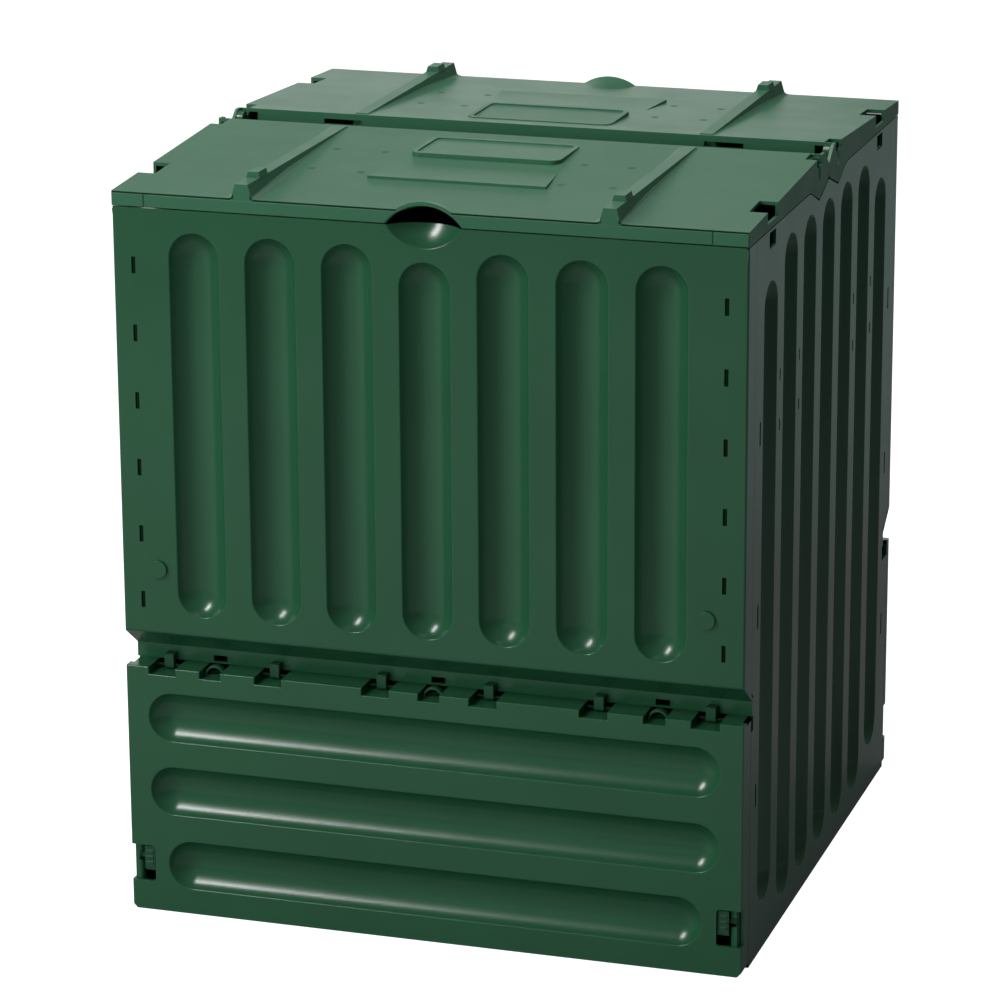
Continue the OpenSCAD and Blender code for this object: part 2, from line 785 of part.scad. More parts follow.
// Window for the right-hand lock, which wraps round the corner, and the cut across the corner below it
module lock_window() {
    low_x = hx - wall_t - window_w;
    window = rounded([[low_x, window_z], [hx + through, window_z], [hx + through, window_z + window_h],
        [low_x, window_z + window_h]], [wall_t, 0, 0, wall_t]);
    along_y(face - through, face + wall_t + through, window);
    block([hx - wall_t - through, face - through, window_z],
        [hx + through, face + window_wrap, window_z + window_h]);
    along_y(face - through, face + long_return + through, [[hx - corner_cut, flap_ground - through],
        [hx + through, flap_ground - through], [hx + through, flap_ground + corner_cut],
        [hx, flap_ground + corner_cut], [hx - corner_cut, flap_ground]]);
}

module notch_floor_block(x, half) {
    block([x - half - wall_t, face, flap_h - rail_t], [x + half + wall_t, shelf_back, flap_h - flap_bevel]);
}

module notch(x, half) {
    block([x - half, face - through, notch_floor], [x + half, shelf_back + through, flap_h + through]);
}

// Half-round clip that stands in a notch
module arched_clip(x) {
    foot = wall_t / 8;
    translate([x, axis_y - clip_set, notch_floor - foot])
        rotate([90, 0, 0])
            difference() {
                cylinder(h = clip_deep, r = clip_r - pin_clear);
                translate([0, 0, -through])
                    cylinder(h = clip_deep + 2 * through, r = clip_r - clip_t);
                translate([-2 * clip_r, -4 * clip_r, -through])
                    cube([4 * clip_r, 4 * clip_r, clip_deep + 2 * through]);
            }
}

// Rails and strap that hold the right-hand lock behind its window
module latch_guides() {
    rail_x = wing_x - lock_clear;
    low = latch_z - lock_travel - latch_lap - through;
    high = latch_z + tongue_h + latch_lap + through;
    back = latch_back + latch_t + lock_clear;
    strap_z = latch_z + tongue_head;
    block([rail_x - guide_w, face + wall_t / 2, low], [rail_x, back + strap_t, high]);
    block([rail_x - through, back, strap_z],
        [latch_x + tongue_w - arm_t - lock_clear, back + strap_t, strap_z + strap_h]);
}

// Sliding lock at the front right: tongue in the window, wings behind it, bolt into the post
module latch() {
    x_high = latch_x + tongue_w;
    ridge_step = tongue_h / 4;
    block([latch_x, latch_face, latch_z], [x_high, latch_back + latch_t, latch_z + tongue_h]);
    for (i = [1 : 3])
        block([latch_x + 2, latch_face - 1.2, latch_z + i * ridge_step - 1.5],
            [x_high - 2, latch_face + 1, latch_z + i * ridge_step + 1.5]);
    block([wing_x, latch_back, latch_z - latch_lap],
        [x_high, latch_back + latch_t, latch_z + tongue_h + latch_lap]);
    block([x_high - arm_t, latch_back, bolt_z], [x_high, bolt_y + bolt_t, bolt_z + bolt_h]);
    block([x_high - arm_t, bolt_y, bolt_z], [post_in + bolt_reach, bolt_y + bolt_t, bolt_z + bolt_h]);
}

// Pin through a hinge tab and into the flap on both sides
module hinge_pin(x) {
    half = tab_notch_w / 2 + pin_grip - pin_end_gap;
    translate([x - half, axis_y, axis_z])
        rotate([0, 90, 0])
            cylinder(h = 2 * half, d = pin_d);
}

// Plug that locks a panel to its corner flange
module lock_plug(side) {
    translate([side * plug_x, face - plug_head_t, plug_height])
        rotate([-90, 0, 0]) {
            cylinder(h = plug_head_t, d = plug_head_d);
            cylinder(h = plug_head_t + 2 * wall_t + seam + plug_over, d = plug_d);
        }
}

// Side skirt of a lid: its tongue stays within tongue_r of the axis where it turns past the wall's peak
module side_skirt(x) {
    drawn_x(x, x + skirt_t)
        difference() {
            polygon(skirt_outline);
            difference() {
                translate([-lid_axis_y, dip])
                    square([lid_axis_y, lid_axis_z - dip]);
                translate([-lid_axis_y, lid_axis_z])
                    circle(tongue_r);
            }
        }
}

module lid_rib(x) {
    low = eave_z - wall_t / 2;
    half = rib_w / 2;
    foot = half + rib_flare / 2;
    along_y(-hy, -valley_half - rib_end, [[x - foot, low], [x + foot, low], [x + half, rib_z], [x - half, rib_z]]);
    along_y(-hy + knob_set, -hy + knob_set + knob_len,
        [[x - half - knob_flare, rib_z - through], [x + half + knob_flare, rib_z - through],
        [x + half - knob_taper, rib_z + knob_h], [x - half + knob_taper, rib_z + knob_h]]);
}

// A plate with a level top that stands out of the sloping lid
module level_block(points, top_z) {
    intersection() {
        translate([0, 0, eave_z - wall_t])
            linear_extrude(top_z - eave_z + wall_t)
                polygon(points);
        along_x(-hx, hx, [[-hy, eave_z - wall_t / 2], [-valley_half, ridge_z - wall_t / 2],
            [-valley_half, ridge_z + wall_t], [-hy, ridge_z + wall_t]]);
    }
}

// Outline of the framed plate, drawn in by inset, with corners rounded by r
function frame_outline(inset, r) = let (w = frame_w / 2 - inset, high = -valley_half - frame_set - inset,
    low = -valley_half - frame_set - frame_len + inset)
    rounded([[-w, low], [w, low], [w, high], [-w, high]], [r, r, r, r]);

frame_top = lid_z(-valley_half - frame_set) + frame_h;

// Cylinder of the grip's arch, which falls towards the rear
module arch(r) {
    // The tilted cylinder starts far enough in front to pass right through the skirt
    lead = (arch_r + wall_t) * tan(hood_fall) + wall_t;
    translate([0, face, lid_foot + arch_h - arch_r])
        rotate([-90 - hood_fall, 0, 0])
            translate([0, 0, -lead])
                cylinder(h = hood_len + lead, r = r);
}

module lid() {
    plate_y = -hy + plate_set;
    plate_end = plate_y + plate_h / lid_slope;
    half = plate_w / 2;
    flank_low = ridge_z - flank_h;
    difference() {
        union() {
            along_x(-hx, hx, [[-hy, lid_foot], [-hy + wall_t, lid_foot], [-hy + wall_t, eave_z - wall_t],
                [-valley_half - wall_t, ridge_z - wall_t], [-valley_half, ridge_z - wall_t],
                [-valley_half, ridge_z], [-hy, eave_z]]);
            side_skirt(-hx);
            side_skirt(skirt_x);
            // Flank along the ridge and the ledge that closes the valley
            along_x(-hx + flank_end, hx - flank_end, [[-valley_half - wall_t, ridge_z - wall_t / 2],
                [-valley_half - wall_t, flank_low], [-middle_gap, flank_low], [-middle_gap, flank_low + ledge_t],
                [-valley_half, flank_low + ledge_t], [-valley_half, ridge_z - wall_t / 2]]);
            for (x = [-rib_x, rib_x])
                lid_rib(x);
            level_block(frame_outline(0, frame_round), frame_top);
            level_block([[-half, plate_y], [half, plate_y], [half - plate_taper, plate_end],
                [-half + plate_taper, plate_end]], lid_z(plate_y) + plate_h);
            intersection() {
                arch(arch_r + wall_t);
                block([-grip_w, face, eave_z - wall_t], [grip_w, face + hood_len, ridge_z + arch_h]);
            }
            for (side = [-1, 1])
                lid_stud(side);
        }
        translate([0, 0, frame_top - frame_sink])
            linear_extrude(2 * frame_sink)
                polygon(frame_outline(frame_rim, frame_round - frame_rim));
        intersection() {
            arch(arch_r);
            block([-grip_w, face - through, 0], [grip_w, face + hood_len, ridge_z + arch_h]);
        }
        for (side = [0, 1])
            mirror([side, 0, 0])
                lid_notches();
        for (x = [-ridge_slot_x, ridge_slot_x])
            block([x - ridge_slot_w / 2, -valley_half - wall_t - through, ridge_z - ridge_slot_drop - ridge_slot_h],
                [x + ridge_slot_w / 2, -valley_half + through, ridge_z - ridge_slot_drop]);
    }
}

// Notches in the right edge of a lid and the slit above its tongue
module lid_notches() {
    top = ridge_z + through;
    foot = lid_foot + slit_rise;
    block([hx - notch_in, -notch_y - notch_len / 2, eave_z - wall_t - notch_cut / 2],
        [hx + through, -notch_y + notch_len / 2, top]);
    block([hx - ridge_notch_in, -tip_y - ridge_notch_len / 2, lid_z(-tip_y) - notch_cut],
        [hx + through, -tip_y + ridge_notch_len / 2, top]);
    along_x(skirt_x - through, hx + through, [[-tip_y - slit_w / 2, foot], [-tip_y + slit_w / 2, foot],
        [-tip_y + slit_top_w / 2, top], [-tip_y - slit_top_w / 2, top]]);
}

// Stud that turns in an ear
module lid_stud(side) {
    length = ear_gap + ear_t;
    root = skirt_t / 4;
    translate([side > 0 ? skirt_x - length : -skirt_x - root, -lid_axis_y, lid_axis_z])
        rotate([0, 90, 0])
            cylinder(h = length + root, d = stud_d);
}

module turned() {
    rotate([0, 0, 180])
        children();
}

module flipped() {
    mirror([1, 0, 0])
        children();
}

color(bin_green) panel();  // front_panel
color(bin_green) turned() panel();  // rear_panel
color(bin_green) wall();  // right_wall
color(bin_green) turned() wall();  // left_wall
color(bin_green) flap();  // front_flap
color(bin_green) turned() flap();  // rear_flap
color(bin_green) lid();  // front_lid
color(bin_green) turned() lid();  // rear_lid
color(dark_green) latch();  // front_latch_right
color(dark_green) flipped() latch();  // front_latch_left
color(dark_green) turned() latch();  // rear_latch_left
color(dark_green) turned() flipped() latch();  // rear_latch_right
for (i = [0 : 5]) {
    color(dark_green) hinge_pin(tab_xs[i]);
    color(dark_green) turned() hinge_pin(tab_xs[i]);
}
color(bin_green) lock_plug(1);  // front_plug_right
color(bin_green) lock_plug(-1);  // front_plug_left
color(bin_green) turned() lock_plug(1);  // rear_plug_left
color(bin_green) turned() lock_plug(-1);  // rear_plug_right
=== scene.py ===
import math

import bmesh
import bpy
from mathutils import Matrix, Vector


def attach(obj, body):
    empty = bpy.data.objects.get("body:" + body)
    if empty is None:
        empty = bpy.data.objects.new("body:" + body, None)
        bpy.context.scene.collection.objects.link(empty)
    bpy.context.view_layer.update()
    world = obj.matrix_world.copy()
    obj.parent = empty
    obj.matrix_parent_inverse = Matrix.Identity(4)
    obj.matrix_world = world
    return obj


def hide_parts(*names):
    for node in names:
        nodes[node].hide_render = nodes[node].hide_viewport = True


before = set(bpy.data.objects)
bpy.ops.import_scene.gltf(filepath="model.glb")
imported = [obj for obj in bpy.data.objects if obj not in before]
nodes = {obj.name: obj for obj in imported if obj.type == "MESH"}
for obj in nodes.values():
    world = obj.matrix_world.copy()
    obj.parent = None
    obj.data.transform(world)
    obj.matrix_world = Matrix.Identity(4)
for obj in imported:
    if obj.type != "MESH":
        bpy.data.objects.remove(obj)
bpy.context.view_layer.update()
mm = 0.001
# Half of the bin's width and depth, in mm like all sizes of the bin below
planHalf = 350
halfTurn = Matrix.Rotation(math.pi, 4, "Z")
quarterTurn = Matrix.Rotation(math.pi / 2, 4, "Z")
print("frame loaded:", len(nodes), "nodes")


studio = {
    "cameraPlace": (1.39754, -4.49919, 1.82306), "yaw": 17.59, "pitch": 16.75, "roll": -0.30,
    "lens": 155.124, "sensor": 36, "clipEnd": 60, "middle": (0, 0, 0.42),
    "keyFrom": (-0.56, -0.59, 0.73), "keyDistance": 3.4, "keySize": 0.5, "keyPower": 58, "keyTall": 2.8,
    "fillPlace": (-2.7, -2.3, 1.0), "fillSize": 1.8, "fillPower": 36,
    "frontPlace": (-0.5, -3.6, 1.2), "frontSize": 1.4, "frontPower": 40,
    "sweepPlace": (-1.4, 3.3, 1.2), "sweepSize": 2.2, "sweepPower": 11.5, "sweepTall": 0.35,
    "topPlace": (0, 0.35, 2.6), "topSize": 1.6, "topPower": 34,
    "skyColour": (0.8, 0.95, 1, 1), "skyStrength": 0.16, "glossStrength": 0.1,
    "floorHalf": 6, "paper": 0.9, "paperRoughness": 0.9, "floorShare": 0.6, "floorGlow": 1.7,
    "mirroredFloor": 0.25, "bounceFloor": 0.27,
    "farWay": (0.5, 0.85, 0), "farColour": (0.72, 1, 0.94, 1),
    "nearFloor": 0.02, "farFloor": 0.2, "farStart": 1.2, "farEnd": 3.0,
    "innerHalf": 0.3458, "innerLift": 0.0004, "groundShade": (0.02, 0.022, 0.018, 1), "groundShadeRoughness": 0.95,
}
white = (1, 1, 1, 1)


def addCamera():
    yaw, pitch, roll = (math.radians(studio[key]) for key in ("yaw", "pitch", "roll"))
    back = Vector((math.sin(yaw) * math.cos(pitch), -math.cos(yaw) * math.cos(pitch), math.sin(pitch)))
    level = Vector((math.cos(yaw), math.sin(yaw), 0))
    upright = back.cross(level)
    right = level * math.cos(roll) + upright * math.sin(roll)
    up = upright * math.cos(roll) - level * math.sin(roll)
    data = bpy.data.cameras.new("photoCamera")
    data.lens = studio["lens"]
    data.sensor_width = studio["sensor"]
    data.clip_end = studio["clipEnd"]
    camera = bpy.data.objects.new("photoCamera", data)
    turn = Matrix((right, up, back)).transposed().to_4x4()
    camera.matrix_world = Matrix.Translation(studio["cameraPlace"]) @ turn
    bpy.context.collection.objects.link(camera)
    bpy.context.scene.camera = camera


def addSoftbox(name, place, mirrored=True):
    # A lamp that faces the bin's middle, out of the camera's sight
    data = bpy.data.lights.new(name + "Box", "AREA")
    data.shape = "RECTANGLE"
    data.size = studio[name + "Size"]
    data.size_y = studio[name + "Size"] * studio.get(name + "Tall", 1)
    data.energy = studio[name + "Power"]
    lamp = bpy.data.objects.new(name + "Box", data)
    lamp.location = place
    lamp.visible_camera = False
    lamp.visible_glossy = mirrored
    lamp.rotation_euler = (Vector(place) - Vector(studio["middle"])).to_track_quat("Z", "Y").to_euler()
    bpy.context.collection.objects.link(lamp)


def addBackground(tree, colour, strength):
    background = tree.nodes.new("ShaderNodeBackground")
    background.inputs["Color"].default_value = colour
    background.inputs["Strength"].default_value = strength
    return background.outputs[0]


def addDiffuse(tree, level):
    diffuse = tree.nodes.new("ShaderNodeBsdfDiffuse")
    diffuse.inputs["Color"].default_value = (level, level, level, 1)
    return diffuse.outputs[0]


def mixShaders(tree, first, second, share=None, socket=None):
    # The share of the second shader is a number, or comes from a socket
    mix = tree.nodes.new("ShaderNodeMixShader")
    if socket:
        tree.links.new(socket, mix.inputs["Fac"])
    else:
        mix.inputs["Fac"].default_value = share
    tree.links.new(first, mix.inputs[1])
    tree.links.new(second, mix.inputs[2])
    return mix.outputs[0]


def addWorld():
    world = bpy.data.worlds.new("studioWorld")
    world.use_nodes = True
    tree = world.node_tree
    tree.nodes.clear()
    path = tree.nodes.new("ShaderNodeLightPath")
    seen = addBackground(tree, white, 1)
    sky = addBackground(tree, studio["skyColour"], studio["skyStrength"])
    gloss = addBackground(tree, white, studio["glossStrength"])
    lit = mixShaders(tree, sky, gloss, socket=path.outputs["Is Glossy Ray"])
    out = tree.nodes.new("ShaderNodeOutputWorld")
    tree.links.new(mixShaders(tree, lit, seen, socket=path.outputs["Is Camera Ray"]), out.inputs["Surface"])
    bpy.context.scene.world = world


def addStage(name, size, height, material):
    bm = bmesh.new()
    bmesh.ops.create_grid(bm, x_segments=1, y_segments=1, size=size)
    bmesh.ops.translate(bm, vec=(0, 0, height), verts=bm.verts)
    mesh = bpy.data.meshes.new(name)
    bm.to_mesh(mesh)
    bm.free()
    mesh.materials.append(material)
    floor = bpy.data.objects.new(name, mesh)
    bpy.context.collection.objects.link(floor)


def makeMatt(name, colour, roughness):
    material = bpy.data.materials.new(name)
    material.use_nodes = True
    shader = material.node_tree.nodes["Principled BSDF"]
    shader.inputs["Base Color"].default_value = colour
    shader.inputs["Roughness"].default_value = roughness
    return material


def addFloor():
    level = studio["paper"]
    material = makeMatt("floorPaper", (level, level, level, 1), studio["paperRoughness"])
    tree = material.node_tree
    new, link = tree.nodes.new, tree.links.new
    # Seen by the camera the paper glows to white and keeps a faint shadow; to the bin it is a dim floor
    path = new("ShaderNodeLightPath")
    glow = new("ShaderNodeEmission")
    glow.inputs["Strength"].default_value = studio["floorGlow"]
    paper = tree.nodes["Principled BSDF"]
    seen = mixShaders(tree, paper.outputs[0], glow.outputs[0], share=studio["floorShare"])
    # Painted sheen: seen only in reflections, the paper glows lighter and teal behind the bin, in the sheen
    # of the right-hand side
    place = new("ShaderNodeTexCoord")
    away = new("ShaderNodeVectorMath")
    away.operation = "DOT_PRODUCT"
    away.inputs[1].default_value = studio["farWay"]
    link(place.outputs["Object"], away.inputs[0])
    rise = new("ShaderNodeMapRange")
    for name, key in (("From Min", "farStart"), ("From Max", "farEnd"),
                      ("To Min", "nearFloor"), ("To Max", "farFloor")):
        rise.inputs[name].default_value = studio[key]
    link(away.outputs["Value"], rise.inputs["Value"])
    far = new("ShaderNodeEmission")
    far.inputs["Color"].default_value = studio["farColour"]
    link(rise.outputs["Result"], far.inputs["Strength"])
    both = new("ShaderNodeAddShader")
    link(addDiffuse(tree, studio["mirroredFloor"]), both.inputs[0])
    link(far.outputs[0], both.inputs[1])
    bounce = addDiffuse(tree, studio["bounceFloor"])
    sheen = mixShaders(tree, bounce, both.outputs[0], socket=path.outputs["Is Glossy Ray"])
    shown = mixShaders(tree, sheen, seen, socket=path.outputs["Is Camera Ray"])
    link(shown, tree.nodes["Material Output"].inputs["Surface"])
    addStage("floor", studio["floorHalf"], 0, material)
    # The ground inside the bin is a near-black patch without the glow, painted shade, so it stays dark behind
    # its openings
    ground = makeMatt("innerGround", studio["groundShade"], studio["groundShadeRoughness"])
    addStage("innerFloor", studio["innerHalf"], studio["innerLift"], ground)


addCamera()
addSoftbox("key", Vector(studio["keyFrom"]).normalized() * studio["keyDistance"] + Vector(studio["middle"]))
addSoftbox("sweep", studio["sweepPlace"])
addSoftbox("fill", studio["fillPlace"], mirrored=False)
addSoftbox("front", studio["frontPlace"], mirrored=False)
addSoftbox("top", studio["topPlace"])
addWorld()
addFloor()
bpy.context.scene.view_settings.view_transform = "Standard"
print("camera, light and floor ready")


moulded = {
    "cloudScale": 6, "cloudDetail": 3, "patchScale": 18, "patchDetail": 2,
    "grainScale": 900, "grainDetail": 2,
    "noiseLow": 0.15, "noiseHigh": 0.85, "bump": 0.03, "bumpDepth": 0.0004, "ior": 1.5,
}


def makeMouldedGroup():
    # Clouds in the colour, patches in the roughness and a fine grain in the surface
    m = moulded
    group = bpy.data.node_groups.new("mouldedPlastic", "ShaderNodeTree")
    for way, sockets in (("INPUT", (("Vector", "Vector"), ("Dark", "Color"), ("Light", "Color"),
                                    ("Rough Low", "Float"), ("Rough High", "Float"))),
                         ("OUTPUT", (("Color", "Color"), ("Roughness", "Float"), ("Normal", "Vector")))):
        for name, kind in sockets:
            group.interface.new_socket(name, in_out=way, socket_type="NodeSocket" + kind)
    new, link = group.nodes.new, group.links.new
    given, out = new("NodeGroupInput"), new("NodeGroupOutput")

    def addNoise(kind):
        noise = new("ShaderNodeTexNoise")
        noise.inputs["Scale"].default_value = m[kind + "Scale"]
        noise.inputs["Detail"].default_value = m[kind + "Detail"]
        link(given.outputs["Vector"], noise.inputs["Vector"])
        return noise.outputs["Fac"]

    def addSpread(value):
        spread = new("ShaderNodeMapRange")
        spread.inputs["From Min"].default_value = m["noiseLow"]
        spread.inputs["From Max"].default_value = m["noiseHigh"]
        link(value, spread.inputs["Value"])
        return spread

    tone = new("ShaderNodeMix")
    tone.data_type = "RGBA"
    link(addSpread(addNoise("cloud")).outputs["Result"], tone.inputs["Factor"])
    link(given.outputs["Dark"], tone.inputs["A"])
    link(given.outputs["Light"], tone.inputs["B"])
    link(tone.outputs["Result"], out.inputs["Color"])
    rough = addSpread(addNoise("patch"))
    link(given.outputs["Rough Low"], rough.inputs["To Min"])
    link(given.outputs["Rough High"], rough.inputs["To Max"])
    link(rough.outputs["Result"], out.inputs["Roughness"])
    bump = new("ShaderNodeBump")
    bump.inputs["Strength"].default_value = m["bump"]
    bump.inputs["Distance"].default_value = m["bumpDepth"]
    link(addNoise("grain"), bump.inputs["Height"])
    link(bump.outputs["Normal"], out.inputs["Normal"])
    return group


plasticGroup = makeMouldedGroup()


def makePlastic(name, dark, light, roughLow, roughHigh, specular=0.5):
    material = bpy.data.materials.new(name)
    material.use_nodes = True
    tree = material.node_tree
    shader = tree.nodes["Principled BSDF"]
    place = tree.nodes.new("ShaderNodeTexCoord")
    plastic = tree.nodes.new("ShaderNodeGroup")
    plastic.node_tree = plasticGroup
    tree.links.new(place.outputs["Object"], plastic.inputs["Vector"])
    for socket, value in (("Dark", (*dark, 1)), ("Light", (*light, 1)), ("Rough Low", roughLow),
                          ("Rough High", roughHigh)):
        plastic.inputs[socket].default_value = value
    for socket, target in (("Color", "Base Color"), ("Roughness", "Roughness"), ("Normal", "Normal")):
        tree.links.new(plastic.outputs[socket], shader.inputs[target])
    shader.inputs["IOR"].default_value = moulded["ior"]
    shader.inputs["Specular IOR Level"].default_value = specular
    return material


panelGreen = makePlastic("panelGreen", (0.011, 0.064, 0.028), (0.014, 0.076, 0.034), 0.22, 0.28, specular=0.6)
lidGreen = makePlastic("lidGreen", (0.02, 0.094, 0.047), (0.026, 0.11, 0.055), 0.42, 0.5)
fittingGreen = makePlastic("fittingGreen", (0.009, 0.05, 0.023), (0.012, 0.06, 0.028), 0.36, 0.44)
# A near-black green, painted shade: it darkens the hooks in the seams' slots, the hinge pins and the strip
# over the lid's skirt
paintedShadeGreen = makePlastic("paintedShadeGreen", (0.002, 0.011, 0.005), (0.003, 0.015, 0.007), 0.6, 0.7, specular=0.15)
markGreen = makePlastic("markGreen", (0.013, 0.066, 0.032), (0.017, 0.078, 0.038), 0.55, 0.65)
print("materials ready")


# In degrees
bevelAngle = 35
flatWeight = 60


def finishMesh(bm, name, material, body, replaced=(), thick=None, edge=0.8):
    # thick is the wall behind a sheet and edge the bevel on the sharp edges, in mm
    mesh = bpy.data.meshes.new(name)
    bm.to_mesh(mesh)
    bm.free()
    mesh.shade_smooth()
    piece = bpy.data.objects.new(name, mesh)
    bpy.context.collection.objects.link(piece)
    mesh.materials.append(material)
    if thick:
        wall = piece.modifiers.new("wall", "SOLIDIFY")
        wall.thickness = thick * mm
        wall.offset = -1
        wall.use_even_offset = True
    if edge:
        bevel = piece.modifiers.new("edges", "BEVEL")
        bevel.width = edge * mm
        bevel.segments = 2
        bevel.limit_method = "ANGLE"
        bevel.angle_limit = math.radians(bevelAngle)
        bevel.harden_normals = True
    flat = piece.modifiers.new("flats", "WEIGHTED_NORMAL")
    flat.weight = flatWeight
    flat.keep_sharp = False
    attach(piece, body)
    if replaced:
        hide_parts(*replaced)
    return piece


# How near, in metres, two vertices become one: in these meshes and in copies of the solids
weld = 0.01 * mm
cadWeld = 0.02 * mm
# Faces of a copy that turn by less, in degrees, become one
flatAngle = 0.5


def cadCopy(node):
    # The solid's mesh, with its triangles joined to flat faces
    bm = bmesh.new()
    bm.from_mesh(nodes[node].data)
    bmesh.ops.remove_doubles(bm, verts=bm.verts, dist=cadWeld)
    bmesh.ops.dissolve_limit(bm, angle_limit=math.radians(flatAngle), verts=bm.verts, edges=bm.edges)
    return bm


def same(a, b):
    return abs(a - b) < 1e-6


def polyline(bm, points):
    verts = [bm.verts.new(point) for point in points]
    return verts, [bm.edges.new(pair) for pair in zip(verts, verts[1:])]


def loop(bm, points):
    verts, edges = polyline(bm, points)
    return edges + [bm.edges.new((verts[-1], verts[0]))]


def arc(x, y, radius, first, last, step):
    # Points of an arc, with its angles in degrees
    turns = [math.radians(a) for a in range(first, last + 1, step)]
    return [(x + radius * math.cos(a), y + radius * math.sin(a)) for a in turns]


def roundedPath(points, radii, steps=5):
    # The corners of a flat outline, each replaced by an arc of its radius
    path = []
    for i, radius in enumerate(radii):
        here = Vector(points[i])
        if not radius:
            path.append(here)
            continue
        a = (Vector(points[i - 1]) - here).normalized()
        b = (Vector(points[(i + 1) % len(points)]) - here).normalized()
        half = a.angle(b) / 2
        centre = here + (a + b).normalized() * radius / math.sin(half)
        low, high = (math.atan2(arm.y, arm.x) for arm in (here + side * radius / math.tan(half) - centre
                                                          for side in (a, b)))
        sweep = (high - low + math.pi) % (2 * math.pi) - math.pi
        for k in range(steps + 1):
            turn = low + sweep * k / steps
            path.append(centre + radius * Vector((math.cos(turn), math.sin(turn))))
    return path


fluteShape = {"half": 28.2, "deep": 18, "arcSteps": 12}
fluteCapSteps = 28
hollowLip = {"radius": 1.5, "steps": 3, "ring": 1}


def hollowProfile(half, deep, arcSteps):
    # [distance from the axis, depth] from the middle of the hollow, over a rounded lip, to the flat face
    lip, lipSteps = hollowLip["radius"], hollowLip["steps"]
    radius = (half ** 2 + deep ** 2) / (2 * deep)
    out = radius - deep
    reach = math.sqrt((radius + lip) ** 2 - (out + lip) ** 2)
    full = math.asin(reach / (radius + lip))
    points = []
    for i in range(arcSteps + 1):
        a = full * i / arcSteps
        points.append((radius * math.sin(a), radius * math.cos(a) - out))
    for i in range(1, lipSteps + 1):
        a = full * (1 - i / lipSteps)
        points.append((reach - lip * math.sin(a), lip - lip * math.cos(a)))
    points.append((reach + hollowLip["ring"], 0))
    return [(x * mm, y * mm) for x, y in points]


def addFlute(bm, first, last):
    # first and last are the ends' centres as [x, z], in mm
    a, b = Vector((first[0], 0, first[1])) * mm, Vector((last[0], 0, last[1])) * mm
    along = (b - a).normalized()
    side = Vector((0, 1, 0)).cross(along)
    profile = hollowProfile(**fluteShape)
    verts, edges = polyline(bm, [a + side * r + Vector((0, d, 0)) for r, d in profile])
    geometry = verts + edges
    for centre, move in ((a, b - a), (b, a - b)):
        # Turn round the end, away from the other end, then draw the shaft
        spun = bmesh.ops.spin(bm, geom=geometry, cent=centre, axis=(0, 1, 0), angle=math.pi,
                              steps=fluteCapSteps, use_merge=False, use_duplicate=False)["geom_last"]
        verts, edges = drawEdges(bm, [e for e in spun if isinstance(e, bmesh.types.BMEdge)], move / mm)
        geometry = verts + edges


def slotLoop(bm, x, z, w, h, r=0.8, y=0):
    # A rectangular hole with its corners rounded, as edges in the face
    points = []
    for sx, sz, start in ((1, 1, 0), (-1, 1, 90), (-1, -1, 180), (1, -1, 270)):
        points += [(px * mm, y * mm, pz * mm)
                   for px, pz in arc(x + sx * (w / 2 - r), z + sz * (h / 2 - r), r, start, start + 90, 45)]
    return loop(bm, points)


def weldDoubles(bm):
    bmesh.ops.remove_doubles(bm, verts=bm.verts, dist=weld)


def fillFace(bm, y=0.0):
    # Welds the parts first, then fills everything between the open edges that lie in one plane
    weldDoubles(bm)
    edges = [e for e in bm.edges if len(e.link_faces) < 2 and all(same(v.co.y, y) for v in e.verts)]
    bmesh.ops.triangle_fill(bm, use_beauty=True, use_dissolve=False, edges=edges, normal=(0, -1, 0))


def flatLoop(bm, points):
    return loop(bm, [(x * mm, 0, z * mm) for x, z in points])


def openEdges(bm, test):
    return [e for e in bm.edges if len(e.link_faces) == 1 and all(test(v.co) for v in e.verts)]


def drawEdges(bm, edges, move):
    # Draws edges out by a move in mm and gives the new ones back, with their vertices
    drawn = bmesh.ops.extrude_edge_only(bm, edges=edges)["geom"]
    verts = [v for v in drawn if isinstance(v, bmesh.types.BMVert)]
    bmesh.ops.translate(bm, vec=Vector(move) * mm, verts=verts)
    fresh = set(verts)
    return verts, [e for e in drawn if isinstance(e, bmesh.types.BMEdge) and fresh.issuperset(e.verts)]


# What counts as a sharp, long edge of the face: its turn in radians and its length in mm
sharpTurn = 0.5
shortEdge = 4


def roundFront(bm, width):
    # Rounds the sharp edges round the face, but not the mouths of its holes
    corners = [e for e in bm.edges if len(e.link_faces) == 2 and e.calc_face_angle() > sharpTurn
               and e.calc_length() > shortEdge * mm and all(same(v.co.y, 0) for v in e.verts)]
    bmesh.ops.bevel(bm, geom=corners, offset=width * mm, offset_type="OFFSET", affect="EDGES", segments=3,
                    profile=0.5, material=-1, clamp_overlap=True)


def addBar(bm, outline, low, high, axes="yz"):
    # A flat outline drawn out along X, or along Y where its points are [x, z]
    flat = [(low, a, b) if axes == "yz" else (a, low, b) for a, b in outline]
    verts = [bm.verts.new(Vector(point) * mm) for point in flat]
    start = bm.faces.new(verts)
    ends = bmesh.ops.extrude_face_region(bm, geom=[start], use_keep_orig=True)["geom"]
    move = (high - low, 0, 0) if axes == "yz" else (0, high - low, 0)
    verts = [v for v in ends if isinstance(v, bmesh.types.BMVert)]
    bmesh.ops.translate(bm, vec=Vector(move) * mm, verts=verts)


def addBlock(bm, low, high):
    size = Vector(high) - Vector(low)
    made = bmesh.ops.create_cube(bm, size=1)["verts"]
    bmesh.ops.scale(bm, vec=size * mm, verts=made)
    bmesh.ops.translate(bm, vec=(Vector(low) + Vector(high)) / 2 * mm, verts=made)


def outwards(bm):
    # The sheet's front faces look along -Y
    bmesh.ops.recalc_face_normals(bm, faces=bm.faces)
    if max(bm.faces, key=lambda f: f.calc_area()).normal.y > 0:
        bmesh.ops.reverse_faces(bm, faces=bm.faces)


def turnAround(bm, turned):
    if turned:
        bmesh.ops.transform(bm, matrix=halfTurn, verts=bm.verts)


